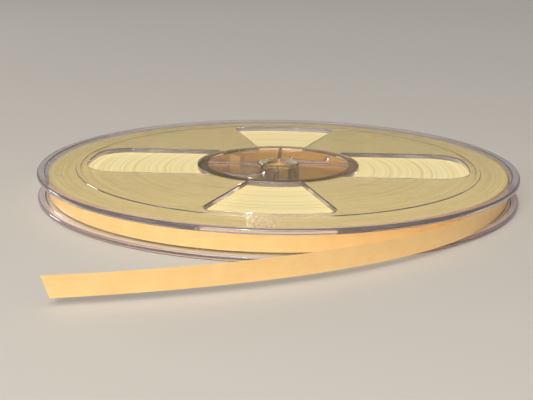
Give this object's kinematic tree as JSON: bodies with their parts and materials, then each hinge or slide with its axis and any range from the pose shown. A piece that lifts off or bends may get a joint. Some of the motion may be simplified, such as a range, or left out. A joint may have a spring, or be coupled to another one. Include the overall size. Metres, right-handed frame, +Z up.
{
  "type": "tape reel",
  "caption": "Flat clear plastic reel with windowed flanges and a keyed spindle hole, wound with narrow cream tape whose loose end curves away on edge.",
  "frame": {"origin": "on the reel's axis, at the surface the lower rim lies on", "axes": "+Z up along the spindle hole; the loose tape end leaves the winding on the +X side and runs across the -Y side"},
  "size_m": [0.178, 0.2153, 0.0106],
  "materials": {
    "clear_flange": "clear moulded polystyrene, polished, with fine handling marks",
    "clear_hub": "clear moulded polystyrene, cemented between the flanges",
    "tape": "cream leader tape, satin face, fine wound lines on its edges"
  },
  "bodies": {
    "reel": {"upper_flange": "clear_flange", "lower_flange": "clear_flange", "hub": "clear_hub", "tape_pack": "tape", "tape_inner_end": "tape", "tape_outer_turn": "tape"},
    "tape_end_1": {"tape_tail_1": "tape"},
    "tape_end_2": {"tape_tail_2": "tape"},
    "tape_end_3": {"tape_tail_3": "tape"},
    "tape_end_4": {"tape_tail_4": "tape"}
  },
  "joints": [
    {"name": "tape_bend_1", "type": "hinge", "parent": "reel", "child": "tape_end_1", "pos_m": [0.07034, -0.04971, 0.0053], "axis": [0, 0, -1], "range_deg": [-5, 10], "stiffness_Nm_per_rad": 0.00004},
    {"name": "tape_bend_2", "type": "hinge", "parent": "tape_end_1", "child": "tape_end_2", "pos_m": [0.04242, -0.08295, 0.0053], "axis": [0, 0, -1], "range_deg": [-4.5, 9], "stiffness_Nm_per_rad": 0.00004},
    {"name": "tape_bend_3", "type": "hinge", "parent": "tape_end_2", "child": "tape_end_3", "pos_m": [0.00451, -0.10601, 0.0053], "axis": [0, 0, -1], "range_deg": [-9.5, 19], "stiffness_Nm_per_rad": 0.00004},
    {"name": "tape_bend_4", "type": "hinge", "parent": "tape_end_3", "child": "tape_end_4", "pos_m": [-0.038, -0.12092, 0.0053], "axis": [0, 0, -1], "range_deg": [-10, 20], "stiffness_Nm_per_rad": 0.00004}
  ],
  "couplings": [
    {"joint": "tape_bend_2", "follows": "tape_bend_1", "ratio": 0.9},
    {"joint": "tape_bend_3", "follows": "tape_bend_1", "ratio": 1.9},
    {"joint": "tape_bend_4", "follows": "tape_bend_1", "ratio": 2}
  ]
}
